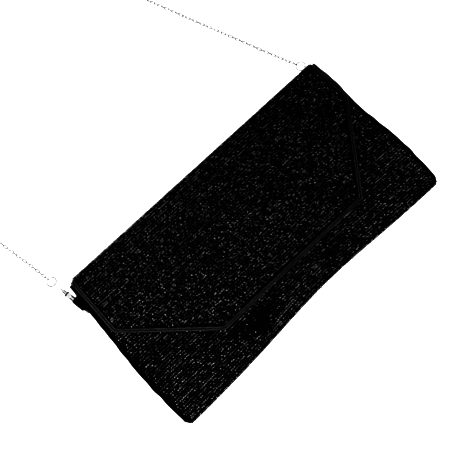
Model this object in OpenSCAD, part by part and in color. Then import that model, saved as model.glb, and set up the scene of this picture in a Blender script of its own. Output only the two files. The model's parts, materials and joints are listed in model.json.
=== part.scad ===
// Beaded flap clutch lying on its back: X along the long edge, Y towards the fold, Z up out of the flap.

/* [Pouch] */
// Half the width of the beaded panels
panel_half = 121.5; // [118:0.5:125]
// Half the height of the pouch from the bottom corners to the fold
pouch_half = 64; // [62:0.5:66]
// How far the bottom edge is drawn in at its middle
hollow = 4.5; // [3:0.5:6]
// Thickness of a beaded panel
shell = 1.4; // [1.2:0.1:1.6]
// How far the back's sloped rim rises off the table
back_rise = 6.6; // [6.4:0.1:6.8]
// Width of the back's sloped rim
back_rim = 21; // [19:1:23]
// Height of the front panel's outer face
front_top = 13.8; // [13.6:0.1:14]
// How far the front panel's rim drops
front_drop = 1.2; // [0.8:0.1:1.4]
// Width of the front panel's sloped rim
front_rim = 12; // [10:1:14]
// Where the front panel ends, at the mouth
mouth_y = 48.2; // [46:0.2:49]

/* [Flap] */
// Length of the flap's left side, down from the fold
side_left = 47; // [40:1:50]
// Length of the flap's right side, down from the fold
side_right = 35; // [30:1:45]
// Left end of the flap's bottom edge
bottom_left = -63; // [-70:1:-55]
// Right end of the flap's bottom edge
bottom_right = 74; // [66:1:80]
// Where the flap's bottom edge lies
flap_low = -37; // [-40:1:-34]
// Width of the corded edge
piping_w = 3.2; // [2.6:0.2:4]

/* [Snap] */
// Radius of the socket's cup
socket_r = 7; // [6:0.5:8]
// Place of the snap along the flap's bottom edge
snap_x = 5; // [0:1:10]
// Place of the snap across the pouch
snap_y = -23; // [-25:1:-20]

/* [Strap] */
// Width of the ribbon tabs
tab_w = 10; // [9:0.5:10]
// Width of the chain
chain_d = 2.4; // [2.2:0.1:2.4]
// Mean radius of the end rings
ring_r = 3.5; // [3.3:0.1:3.6]
// Turns in each layer of the put-away coil
coil_turns = 4; // [4:1:5]

/* [Hidden] */
$fn = 64;

far = 300;                 // longer than the pouch, for cuts
gap = 0.3;                 // air between soft pieces that move apart
board_t = 0.8;
lining_t = 0.5;

// Pouch
base_in = -pouch_half + shell;
spine_in = pouch_half - shell;
panel_top = spine_in - gap;
arc_r = (panel_half * panel_half + hollow * hollow) / (2 * hollow);
arc_y = -pouch_half + hollow - arc_r;
arc_fn = 720;
back_edge = back_rise;
front_edge = front_top - front_drop;
gusset_r = (front_edge - back_edge) / 2;
gusset_z = (front_edge + back_edge) / 2;
gusset_t = 0.8;
gusset_end_left = 40;
gusset_end_right = 36.5;
lining_gap = 0.3;          // between the lining and the walls
binding_w = 1.6;
binding_t = 3;
base_low = 5.2;
base_high = front_edge + 0.4;

// Layers, counted up from the table
back_lining_z = shell + board_t;
front_board_z = front_top - shell - board_t;
front_lining_z = front_board_z - lining_t;
flap_z = front_top + gap;
flap_board_t = 1;
flap_board_z = flap_z + lining_t;
flap_panel_z = flap_board_z + flap_board_t;
flap_top = flap_panel_z + shell;
piping_top = flap_top + 0.3;

// Fold lines
fold_y = pouch_half - shell / 2;
fold_low_z = back_rise + 0.4;
fold_high_z = flap_top - 0.6;
spine_low = fold_low_z + 0.4;
spine_high = fold_high_z - 0.4;

flap_half = panel_half - 1;
flap_outline = [
    [-flap_half, panel_top],
    [-panel_half, panel_top - side_left],
    [bottom_left, flap_low],
    [bottom_right, flap_low + 1],
    [panel_half, panel_top - side_right],
    [flap_half, panel_top]];

// Snap
socket_z = front_board_z + 0.4;
socket_top = front_top + 0.1;
magnet_r = socket_r - 0.6;
magnet_hole_r = 2.6;
magnet_t = 1.4;
post_r = 2.1;
post_hole_r = 2.3;
stud_r = socket_r - 0.5;
stud_t = 0.85;
washer_r = 8;

// Clasp, in its own frame: the leg in the tab lies along Y through the origin
leg = 1.7;
leg_apart = 6.7;
hook_open = 10.8;
barrel_end = 14;
barrel_t = 4.2;
collar_end = 17.3;
collar_r = 1.7;
swivel_r = 0.7;
swivel_hole_r = 0.78;
swivel_x = -leg_apart / 2;
head_r = 1.25;
pivot = [-5.6, 8.2];
rivet_r = 0.6;
spring_x = -3.1;
spring_r = 0.95;
slot_t = 1.9;
eye_r = 2.15;
eye_hole_r = 1.25;
eye_y = [20.5, 25];
ring_wire = 0.55;
ring_seat = 25.6;
tab_t = 0.8;
tab_hole_r = 1.5;

left_leg = [-125.8, 48, 10.4];
left_turn = [-10.5, 0, 8.5];
right_leg = [121, 42, 2.3];
left_ring_at = [-129.43, 72.29, 2.44];
left_ring_turn = [-10.2, 0, 10];
right_ring_at = [117.65, 67.35, 2.3];
right_ring_turn = [-9, 0, 22];

// Chain: both runs lie on the table, and the coil lies between them
lie = chain_d / 2;
coil_mid_r = 13;
coil_in_r = coil_mid_r - coil_turns * chain_d / 2;
coil_out_r = coil_mid_r + coil_turns * chain_d / 2;
coil_at = [-104, 201];
run_left = [
    [-130.8, 79.6, lie], [-132.7, 91, lie], [-135.6, 107, lie], [-138.4, 123, lie],
    [-138.5, 134, lie], [-133, 144, lie], [-123, 153, lie], [-110, 167.5, lie],
    [-97.9, 182.6, lie]];
run_right = [
    [-84.9, 197.8, 3.3], [-78, 206, 1.6], [-68, 217.5, lie], [-50, 239, lie], [-32, 261, lie],
    [-24, 272, lie], [-14, 276, lie], [-3, 272, lie], [12, 260, lie], [32, 243, lie],
    [50, 226, lie], [60, 209, lie], [67.7, 190, lie], [80.2, 159, lie], [92.6, 128.3, lie],
    [103.5, 101.2, lie], [114.8, 74.3, lie]];
tube_sides = 8;
tube_step = 6.5;

// Room above a face that is flat in the middle and slopes up over a rim on all four sides
module over_slope(rise, rim, half, low, high, lift) {
    top = 60;
    intersection() {
        rotate([90, 0, 0]) translate([0, 0, -far / 2]) linear_extrude(far)
            polygon([[-half, top], [-half, rise + lift], [rim - half, lift],
                [half - rim, lift], [half, rise + lift], [half, top]]);
        rotate([90, 0, 90]) translate([0, 0, -far / 2]) linear_extrude(far)
            polygon([[low, top], [low, rise + lift], [low + rim, lift],
                [high - rim, lift], [high, rise + lift], [high, top]]);
    }
}

// A sheet of thickness t, lift above the back's outer face and following its slopes
module back_sheet(lift, t) {
    difference() {
        over_slope(back_rise, back_rim, panel_half, base_in, panel_top, lift);
        over_slope(back_rise, back_rim, panel_half + 1, base_in - 1, panel_top + 1, lift + t);
    }
}

// The same, hung below the front panel's outer face; the mouth's edge has no slope
module front_sheet(depth, t) {
    translate([0, 0, front_top]) mirror([0, 0, 1]) difference() {
        over_slope(front_drop, front_rim, panel_half, base_in, pouch_half + front_rim, depth);
        over_slope(front_drop, front_rim, panel_half, base_in, pouch_half + front_rim, depth + t);
    }
}

// The panels' plan: the bottom edge is an arc, set in by inset from the outer face
module plan(inset, side, high) {
    difference() {
        translate([-side, -pouch_half, -1]) cube([2 * side, high + pouch_half, 60]);
        translate([0, arc_y, -2]) cylinder(r = arc_r + inset, h = 62, $fn = arc_fn);
    }
}

module back_panel() {
    color("#151517") intersection() {
        back_sheet(0, shell);
        plan(shell, panel_half, panel_top);
    }
}

module front_panel() {
    color("#151517") difference() {
        intersection() {
            front_sheet(0, shell);
            plan(shell, panel_half, mouth_y - binding_w);
        }
        translate([snap_x, snap_y, 0]) cylinder(r = socket_r, h = 30);
    }
}

module base_panel() {
    color("#151517") intersection() {
        translate([0, arc_y, base_low]) difference() {
            cylinder(r = arc_r + shell, h = base_high - base_low, $fn = arc_fn);
            translate([0, 0, -1]) cylinder(r = arc_r, h = base_high, $fn = arc_fn);
        }
        translate([-panel_half, -pouch_half - 1, 0]) cube([2 * panel_half, 10, 30]);
    }
}

// A half round that bulges out past the panels, then a flat wall up to the fold
module gusset(end) {
    intersection() {
        difference() {
            translate([panel_half, end, gusset_z]) rotate([90, 0, 0])
                cylinder(r = gusset_r, h = end - base_in);
            translate([panel_half, end + 1, gusset_z]) rotate([90, 0, 0])
                cylinder(r = gusset_r - gusset_t, h = end - base_in + 1 - gusset_t);
        }
        translate([panel_half, -far / 2, 0]) cube([10, far, 30]);
    }
    translate([panel_half - gusset_t, end - 4, back_edge + shell])
        cube([gusset_t, panel_top - end + 4, front_edge - back_edge - 2 * shell]);
    translate([panel_half - gusset_t, mouth_y - binding_w, back_edge + shell])
        cube([gusset_t, panel_top - mouth_y + binding_w, front_edge - back_edge - shell]);
}

module left_gusset() {
    color("#1b1c21") mirror([1, 0, 0]) gusset(gusset_end_left);
}

module right_gusset() {
    color("#1b1c21") gusset(gusset_end_right);
}

module spine_panel() {
    color("#151517") translate([-flap_half, spine_in, spine_low])
        cube([2 * flap_half, shell, spine_high - spine_low]);
}

// An outline set in by d from all its edges
function unit(v) = v / norm(v);
function edge_normal(p, i) = let (e = unit(p[(i + 1) % len(p)] - p[i])) [-e[1], e[0]];
function set_in(p, d) = [for (i = [0 : len(p) - 1])
    let (a = edge_normal(p, (i + len(p) - 1) % len(p)), b = edge_normal(p, i))
        p[i] + d * (a + b) / (1 + a * b)];

// The flap's plan, set in by d from its free edges only
module flap_plan(d, top) {
    inner = set_in(flap_outline, d);
    polygon([
        [inner[0][0], top], inner[1], inner[2], inner[3], inner[4], [inner[5][0], top]]);
}

module flap_panel() {
    color("#151517") translate([0, 0, flap_panel_z])
        linear_extrude(shell) flap_plan(piping_w, panel_top);
}

module flap_piping() {
    color("#1e1f24") translate([0, 0, flap_z]) linear_extrude(piping_top - flap_z) difference() {
        polygon(flap_outline);
        flap_plan(piping_w, panel_top + 1);
    }
}

module flap_board() {
    color("#6b6459") translate([0, 0, flap_board_z]) difference() {
        linear_extrude(flap_board_t) flap_plan(piping_w, panel_top - gap);
        translate([snap_x, snap_y, -1]) cylinder(r = washer_r + 0.1, h = flap_board_t + 2);
    }
}

module flap_lining() {
    color("#222228") translate([0, 0, flap_z]) difference() {
        linear_extrude(lining_t) flap_plan(piping_w, panel_top - gap);
        translate([snap_x, snap_y, -1]) cylinder(r = stud_r + 0.1, h = lining_t + 2);
    }
}

module mouth_binding() {
    color("#1e1f24") intersection() {
        front_sheet(0, binding_t);
        translate([-panel_half + gusset_t, mouth_y - binding_w, 0])
            cube([2 * (panel_half - gusset_t), binding_w, 30]);
    }
}

module back_board() {
    color("#6b6459") translate([-98, -39.5, shell]) cube([196, 79, board_t]);
}

module front_board() {
    side = panel_half - front_rim - 2;
    color("#6b6459") difference() {
        translate([-side, -48, front_board_z]) cube([2 * side, mouth_y - binding_w + 48, board_t]);
        translate([snap_x, snap_y, 0]) cylinder(r = washer_r + 0.1, h = 30);
    }
}

module back_lining() {
    color("#222228") intersection() {
        back_sheet(back_lining_z, lining_t);
        plan(shell + lining_gap, panel_half - gusset_t - lining_gap, panel_top);
    }
}

module front_lining() {
    color("#222228") intersection() {
        front_sheet(front_top - front_lining_z - lining_t, lining_t);
        plan(shell + lining_gap, panel_half - gusset_t - lining_gap, mouth_y - binding_w);
    }
}

// A flat pocket, sewn down on three sides and open towards the mouth
module slip_pocket() {
    seam = 2;
    slack = 0.5;
    size = [110, 58];
    color("#26262c") translate([-size[0] / 2, -38, back_lining_z + lining_t]) difference() {
        cube([size[0], size[1], slack + lining_t]);
        translate([seam, seam, -1]) cube([size[0] - 2 * seam, size[1], slack + 1]);
    }
}

module at_snap(z) {
    translate([snap_x, snap_y, z]) children();
}

module snap_socket() {
    color("#b9b9bd") at_snap(socket_z) difference() {
        cylinder(r = socket_r, h = socket_top - socket_z);
        translate([0, 0, -1]) cylinder(r = magnet_r + 0.05, h = magnet_t + 1);
        cylinder(r = post_hole_r, h = 10);
    }
}

module snap_magnet() {
    color("#3a3a3d") at_snap(socket_z) difference() {
        cylinder(r = magnet_r, h = magnet_t);
        translate([0, 0, -1]) cylinder(r = magnet_hole_r, h = magnet_t + 2);
    }
}

module socket_washer() {
    color("#8f8f92") at_snap(front_board_z) cylinder(r = washer_r, h = socket_z - front_board_z);
}

module snap_stud() {
    color("#b9b9bd") at_snap(flap_z + 0.05) {
        cylinder(r = stud_r, h = stud_t);
        translate([0, 0, -1.5]) cylinder(r = post_r, h = 2);
    }
}

module stud_washer() {
    color("#8f8f92") at_snap(flap_z + 0.05 + stud_t) cylinder(r = washer_r, h = 0.5);
}

// Clasp and tab pieces, in the clasp's frame
module tab_loop(fold, reach) {
    out_r = tab_hole_r + tab_t;
    from = fold > 0 ? -reach : 0;
    rotate([90, 0, 0]) translate([0, 0, -tab_w / 2]) linear_extrude(tab_w) difference() {
        union() {
            circle(r = out_r);
            translate([-out_r, from]) square([2 * out_r, reach]);
        }
        circle(r = tab_hole_r);
        translate([-tab_hole_r, from - (fold > 0 ? 1 : 0)]) square([2 * tab_hole_r, reach + 1]);
    }
}

// A bar across X with round ends
module stadium(from, to, r) {
    for (x = [from + r, to - r]) translate([x, 0]) circle(r = r);
    translate([from + r, -r]) square([to - from - 2 * r, 2 * r]);
}

module clasp_frame() {
    half = hook_open / 2;
    out = leg_apart + leg / 2;
    difference() {
        union() {
            translate([-leg / 2, -half - 0.1, -leg / 2]) cube([leg, hook_open + 0.2, leg]);
            translate([-out, -half - leg, -1.1]) cube([out + leg / 2, leg, 2.2]);
            intersection() {
                translate([0, 0, -barrel_t / 2]) linear_extrude(barrel_t)
                    polygon([[-out - 0.2, half], [leg / 2 + 0.1, half], [leg / 2 + 0.1, 8],
                        [swivel_x + 2.1, barrel_end], [swivel_x - 2.1, barrel_end],
                        [-out - 0.2, 9.5]]);
                rotate([-90, 0, 0]) linear_extrude(barrel_end)
                    stadium(-out - 0.2, leg / 2 + 0.1, barrel_t / 2);
            }
            translate([swivel_x, barrel_end, 0]) rotate([-90, 0, 0])
                cylinder(r = collar_r, h = collar_end - barrel_end);
        }
        translate([-out - 2, half - 1, -slot_t / 2]) cube([out - 1.6, 7.8, slot_t]);
        translate([pivot[0], pivot[1], -5]) cylinder(r = rivet_r, h = 10);
        translate([spring_x, pivot[1], -slot_t / 2]) cylinder(r = spring_r + 0.1, h = slot_t);
        translate([swivel_x, 11.8, 0]) rotate([-90, 0, 0]) cylinder(r = head_r + 0.1, h = 1.4);
        translate([swivel_x, 12, 0]) rotate([-90, 0, 0]) cylinder(r = swivel_hole_r, h = 10);
    }
}

module clasp_trigger() {
    half = hook_open / 2;
    translate([0, 0, -leg / 2]) linear_extrude(leg) difference() {
        polygon([[-leg_apart - leg / 2, -half + 0.1], [-leg_apart + leg / 2, -half + 0.1],
            [-leg_apart + leg / 2, half], [-4.4, 7.2], [-4.4, 9.4], [-6, 10.6], [-8, 10.2],
            [-8.3, 8], [-leg_apart - leg / 2, half]]);
        translate(pivot) circle(r = rivet_r + 0.05);
    }
}

module clasp_rivet() {
    translate([pivot[0], pivot[1], -barrel_t / 2]) cylinder(r = rivet_r, h = barrel_t);
}

module clasp_spring() {
    translate([spring_x, pivot[1], -0.7]) difference() {
        cylinder(r = spring_r, h = 1.4);
        translate([0, 0, -1]) cylinder(r = 0.6, h = 4);
    }
}

module swivel_eye(turn) {
    translate([swivel_x, 0, 0]) rotate([0, turn, 0]) {
        translate([0, 11.9, 0]) rotate([-90, 0, 0]) cylinder(r = head_r, h = 1.1);
        translate([0, 12.5, 0]) rotate([-90, 0, 0]) cylinder(r = swivel_r, h = 6.5);
        translate([0, 0, -0.45]) linear_extrude(0.9) difference() {
            union() {
                for (y = eye_y) translate([0, y]) circle(r = eye_r);
                translate([-eye_r, eye_y[0]]) square([2 * eye_r, eye_y[1] - eye_y[0]]);
            }
            for (y = eye_y) translate([0, y]) circle(r = eye_hole_r);
            translate([-eye_hole_r, eye_y[0]]) square([2 * eye_hole_r, eye_y[1] - eye_y[0]]);
        }
    }
}

module end_ring() {
    translate([0, ring_r, 0]) rotate_extrude() translate([ring_r, 0]) circle(r = ring_wire, $fn = 24);
}

module at_left() {
    translate(left_leg) rotate(left_turn) rotate([0, -90, 0]) children();
}

module at_right() {
    translate(right_leg) children();
}

module left_tab() {
    color("#17171a") difference() {
        at_left() tab_loop(1, 9);
        translate([-panel_half, 0, 0]) cube([20, 80, 30]);
    }
}

module right_tab() {
    tab_out = right_leg[0] + tab_hole_r + tab_t;
    color("#17171a") {
        difference() {
            at_right() tab_loop(-1, 8);
            over_slope(back_rise, back_rim, panel_half, base_in, panel_top, 0);
        }
        translate([panel_half, right_leg[1] - tab_w / 2, right_leg[2] + 7])
            cube([tab_out - panel_half, tab_w, 2]);
    }
}

module left_clasp_body() {
    color("#cfcfd3") at_left() clasp_frame();
}

module left_clasp_trigger() {
    color("#c4c4c9") at_left() clasp_trigger();
}

module left_clasp_rivet() {
    color("#9c9ca1") at_left() clasp_rivet();
}

module left_clasp_spring() {
    color("#77777c") at_left() clasp_spring();
}

module left_swivel_eye() {
    color("#cfcfd3") at_left() swivel_eye(0);
}

module left_ring() {
    color("#cfcfd3") translate(left_ring_at) rotate(left_ring_turn) end_ring();
}

module right_clasp_body() {
    color("#cfcfd3") at_right() clasp_frame();
}

module right_clasp_trigger() {
    color("#c4c4c9") at_right() clasp_trigger();
}

module right_clasp_rivet() {
    color("#9c9ca1") at_right() clasp_rivet();
}

module right_clasp_spring() {
    color("#77777c") at_right() clasp_spring();
}

module right_swivel_eye() {
    color("#cfcfd3") at_right() swivel_eye(90);
}

module right_ring() {
    color("#cfcfd3") translate(right_ring_at) rotate(right_ring_turn) end_ring();
}

// A smooth line through the route's points, and a tube swept along it
function span(p, i, t) =
    let (a = p[max(i - 1, 0)], b = p[i], c = p[i + 1], d = p[min(i + 2, len(p) - 1)])
        b + (c - a) * t / 2 + (2 * a - 5 * b + 4 * c - d) * t * t / 2
            + (3 * b - a - 3 * c + d) * t * t * t / 2;
function steps(p, i) = max(1, round(norm(p[i + 1] - p[i]) / tube_step));
function smooth(p) = concat(
    [for (i = [0 : len(p) - 2]) for (k = [0 : steps(p, i) - 1]) span(p, i, k / steps(p, i))],
    [p[len(p) - 1]]);
function heading(l, i) = unit(l[min(i + 1, len(l) - 1)] - l[max(i - 1, 0)]);
function tube_ring(l, i) =
    let (t = heading(l, i), side = unit(cross(t, [0, 0, 1])), up = cross(side, t))
        [for (k = [0 : tube_sides - 1]) let (a = (k + 0.5) * 360 / tube_sides)
            l[i] + lie * (cos(a) * side + sin(a) * up)];

module tube(points) {
    line = smooth(points);
    n = len(line);
    skin = [for (i = [0 : n - 1]) each tube_ring(line, i)];
    sides = [for (i = [0 : n - 2]) for (k = [0 : tube_sides - 1])
        let (a = i * tube_sides, b = a + tube_sides, m = (k + 1) % tube_sides)
            [a + k, a + m, b + m, b + k]];
    first = [for (k = [0 : tube_sides - 1]) tube_sides - 1 - k];
    last = [for (k = [0 : tube_sides - 1]) (n - 1) * tube_sides + k];
    polyhedron(skin, concat([first], sides, [last]));
}

module chain_run_left() {
    color("#b4b2b0") tube(run_left);
}

module chain_run_right() {
    color("#b4b2b0") tube(run_right);
}

module chain_coil() {
    color("#b4b2b0") translate(coil_at) rotate_extrude()
        translate([coil_in_r, 0]) square([coil_out_r - coil_in_r, 2 * chain_d]);
}

back_panel();
front_panel();
base_panel();
left_gusset();
right_gusset();
spine_panel();
flap_panel();
flap_piping();
flap_board();
flap_lining();
mouth_binding();
back_board();
front_board();
back_lining();
front_lining();
slip_pocket();
snap_socket();
snap_magnet();
socket_washer();
snap_stud();
stud_washer();
left_tab();
left_clasp_body();
left_clasp_trigger();
left_clasp_rivet();
left_clasp_spring();
left_swivel_eye();
left_ring();
right_tab();
right_clasp_body();
right_clasp_trigger();
right_clasp_rivet();
right_clasp_spring();
right_swivel_eye();
right_ring();
chain_run_left();
chain_coil();
chain_run_right();
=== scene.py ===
"""The looks of a beaded flap clutch with a thin shoulder chain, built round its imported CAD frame.

Lengths are millimetres in the CAD frame: X along the long edge, Y towards the fold, Z up out of the flap.
"""

import json
import math

import bpy
import numpy as np
from mathutils import Matrix, Vector

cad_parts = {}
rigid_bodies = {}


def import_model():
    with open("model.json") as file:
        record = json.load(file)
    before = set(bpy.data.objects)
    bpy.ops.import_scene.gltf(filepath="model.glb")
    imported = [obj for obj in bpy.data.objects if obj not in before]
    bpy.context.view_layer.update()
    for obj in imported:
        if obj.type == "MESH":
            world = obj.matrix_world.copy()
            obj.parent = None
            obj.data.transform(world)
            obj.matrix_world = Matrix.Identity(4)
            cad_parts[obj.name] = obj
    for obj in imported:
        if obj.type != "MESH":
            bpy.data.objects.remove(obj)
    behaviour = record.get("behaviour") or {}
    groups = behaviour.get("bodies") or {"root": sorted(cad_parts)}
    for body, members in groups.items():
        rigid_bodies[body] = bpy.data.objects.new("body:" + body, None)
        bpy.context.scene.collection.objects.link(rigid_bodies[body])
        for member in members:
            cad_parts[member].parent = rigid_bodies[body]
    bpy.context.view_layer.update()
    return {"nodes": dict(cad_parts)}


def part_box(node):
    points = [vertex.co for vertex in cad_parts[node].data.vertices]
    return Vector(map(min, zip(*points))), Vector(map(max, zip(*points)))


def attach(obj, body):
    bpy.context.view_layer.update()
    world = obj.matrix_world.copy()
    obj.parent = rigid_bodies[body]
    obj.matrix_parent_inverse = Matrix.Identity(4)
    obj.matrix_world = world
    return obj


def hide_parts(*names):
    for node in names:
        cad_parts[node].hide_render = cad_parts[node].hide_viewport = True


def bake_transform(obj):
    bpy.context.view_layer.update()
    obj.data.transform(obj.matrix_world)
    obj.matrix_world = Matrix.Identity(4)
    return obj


MM = 0.001
rng = np.random.default_rng(11)

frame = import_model()


def corners(node):
    """A CAD node's lowest and highest corners, in millimetres."""
    low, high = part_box(node)
    return np.array(low) / MM, np.array(high) / MM


# ---------------- camera

CAMERA_AT = (-96.6, -72.2, 649.8)
CAMERA_AIM = (-9.5, 20.5, 0.0)
CAMERA_UP = (0.685, 0.729, 0.0)
CAMERA_LENS = 72.0
CAMERA_SENSOR = 36.0


def make_camera():
    data = bpy.data.cameras.new("camera")
    data.lens = CAMERA_LENS
    data.sensor_width = CAMERA_SENSOR
    camera = bpy.data.objects.new("camera", data)
    bpy.context.scene.collection.objects.link(camera)
    ahead = (Vector(CAMERA_AIM) - Vector(CAMERA_AT)).normalized()
    right = ahead.cross(Vector(CAMERA_UP)).normalized()
    up = right.cross(ahead)
    turn = Matrix((right, up, -ahead)).transposed()
    camera.matrix_world = Matrix.Translation(Vector(CAMERA_AT) * MM) @ turn.to_4x4()
    bpy.context.scene.camera = camera


make_camera()

# ---------------- mesh tools


def unit(v):
    return v / np.maximum(np.linalg.norm(v, axis=-1, keepdims=True), 1e-12)


def xyz(x, y, z):
    """Points whose coordinates are arrays or numbers that fit each other."""
    return np.stack(np.broadcast_arrays(x, y, z), -1)


def ease(t):
    t = np.clip(t, 0.0, 1.0)
    return t * t * (3 - 2 * t)


def blank(name, points, faces):
    """An object from points in millimetres and a list of index arrays, each with faces of one width."""
    mesh = bpy.data.meshes.new(name)
    widths = np.concatenate([np.full(len(f), f.shape[1]) for f in faces])
    loops = np.concatenate([np.asarray(f).ravel() for f in faces])
    starts = np.concatenate([[0], np.cumsum(widths)[:-1]])
    mesh.vertices.add(len(points))
    mesh.vertices.foreach_set("co", (np.asarray(points) * MM).astype(np.float32).ravel())
    mesh.loops.add(len(loops))
    mesh.loops.foreach_set("vertex_index", loops.astype(np.int32))
    mesh.polygons.add(len(widths))
    mesh.polygons.foreach_set("loop_start", starts.astype(np.int32))
    mesh.polygons.foreach_set("use_smooth", np.ones(len(widths), bool))
    mesh.update(calc_edges=True)
    obj = bpy.data.objects.new(name, mesh)
    bpy.context.scene.collection.objects.link(obj)
    return obj


def finish_piece(obj, body, finish, slot, replaced=()):
    """Gives a piece its material or materials and, unless it bends, its body. The slot it is given is not used."""
    for material in finish if isinstance(finish, (list, tuple)) else [finish]:
        obj.data.materials.append(material)
    if replaced:
        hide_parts(*replaced)
    if body:
        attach(obj, body)
    return obj


def piece(name, mesh, *rest):
    """A finished piece from its points and faces."""
    return finish_piece(blank(name, *mesh), *rest)


def join(parts):
    """Several (points, faces) sets as one."""
    points, by_width, start = [], {}, 0
    for p, faces in parts:
        points.append(p)
        for f in faces:
            by_width.setdefault(f.shape[1], []).append(f + start)
        start += len(p)
    return np.concatenate(points), [np.concatenate(f) for f in by_width.values()]


def grid_faces(rows, cols, start=0, flip=False):
    i, j = np.meshgrid(np.arange(rows - 1), np.arange(cols - 1), indexing="ij")
    a = start + (i * cols + j).ravel()
    quads = np.stack([a, a + cols, a + cols + 1, a + 1], 1)
    return quads[:, ::-1] if flip else quads


def slab(top, under):
    """A closed sheet between two grids of points: top is seen from the side its rows x columns turn round."""
    rows, cols = top.shape[:2]
    n = rows * cols
    rim = np.concatenate([
        np.arange(cols), np.arange(1, rows) * cols + cols - 1,
        (rows - 1) * cols + np.arange(cols - 2, -1, -1), np.arange(rows - 2, 0, -1) * cols])
    after = np.roll(rim, -1)
    sides = np.stack([rim, rim + n, after + n, after], 1)
    points = np.concatenate([top.reshape(-1, 3), under.reshape(-1, 3)])
    return points, [grid_faces(rows, cols, flip=True), grid_faces(rows, cols, n), sides[:, ::-1]]


def tube_faces(n, k, joined=False):
    """The faces round n sections of k points each; the last section joins the first, or both ends are closed."""
    i, j = np.meshgrid(np.arange(n if joined else n - 1), np.arange(k), indexing="ij")
    i, j = i.ravel(), j.ravel()
    after, beside = (i + 1) % n, (j + 1) % k
    faces = [np.stack([i * k + j, i * k + beside, after * k + beside, after * k + j], 1)]
    if not joined:
        faces.append(np.arange(k)[None, ::-1])
        faces.append((n - 1) * k + np.arange(k)[None])
    return faces


def headings(line, loop=False):
    if loop:
        return unit(np.roll(line, -1, 0) - np.roll(line, 1, 0))
    return unit(np.gradient(line, axis=0))


def line_axes(line, up=(0, 0, 1), loop=False):
    """The directions across and above a line at each of its points."""
    along = headings(line, loop)
    across = unit(np.cross(along, np.broadcast_to(np.asarray(up, float), along.shape)))
    return across, np.cross(across, along)


def sweep(line, section, up=(0, 0, 1), loop=False):
    """A section, points across and above the line, carried along it; loop joins its ends."""
    line, section = np.asarray(line, float), np.asarray(section, float)
    if section.ndim == 2:
        section = np.broadcast_to(section, (len(line),) + section.shape)
    across, above = line_axes(line, up, loop)
    points = line[:, None] + section[..., :1] * across[:, None] + section[..., 1:] * above[:, None]
    return points.reshape(-1, 3), tube_faces(*points.shape[:2], loop)


def ring_section(radius, sides):
    a = np.arange(sides) * 2 * math.pi / sides
    return np.stack([radius * np.cos(a), radius * np.sin(a)], 1)


def lathe(profile, sides=48):
    """A closed profile of (radius, height) points turned round the Z axis."""
    profile = np.asarray(profile, float)
    a = np.arange(sides) * 2 * math.pi / sides
    points = np.stack([
        profile[None, :, 0] * np.cos(a)[:, None], profile[None, :, 0] * np.sin(a)[:, None],
        np.broadcast_to(profile[None, :, 1], (sides, len(profile)))], 2)
    quads = tube_faces(sides, len(profile), True)[0]
    return points.reshape(-1, 3), [quads[:, [0, 3, 2, 1]]]


def smooth_line(points, step):
    """A Catmull-Rom line through points, about step apart."""
    p = np.asarray(points, float)
    before = np.concatenate([p[:1], p[:-2]])
    beyond = np.concatenate([p[2:], p[-1:]])
    line = []
    for a, b, c, d in zip(before, p[:-1], p[1:], beyond):
        n = max(2, int(round(np.linalg.norm(c - b) / step)))
        t = (np.arange(n) / n)[:, None]
        line.append(b + (c - a) * t / 2 + (2 * a - 5 * b + 4 * c - d) * t**2 / 2
                    + (3 * b - a - 3 * c + d) * t**3 / 2)
    return np.concatenate(line + [p[-1:]])


def lengths_along(line):
    return np.concatenate([[0], np.cumsum(np.linalg.norm(np.diff(line, axis=0), axis=1))])


def at_lengths(line, wanted):
    s = lengths_along(line)
    return np.stack([np.interp(wanted, s, line[:, k]) for k in range(3)], 1)


def bake_modifiers(obj):
    """Leaves the modified mesh on the object and no modifier."""
    evaluated = obj.evaluated_get(bpy.context.evaluated_depsgraph_get())
    mesh = bpy.data.meshes.new_from_object(evaluated)
    obj.modifiers.clear()
    old, obj.data = obj.data, mesh
    bpy.data.meshes.remove(old)


# ---------------- materials


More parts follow.
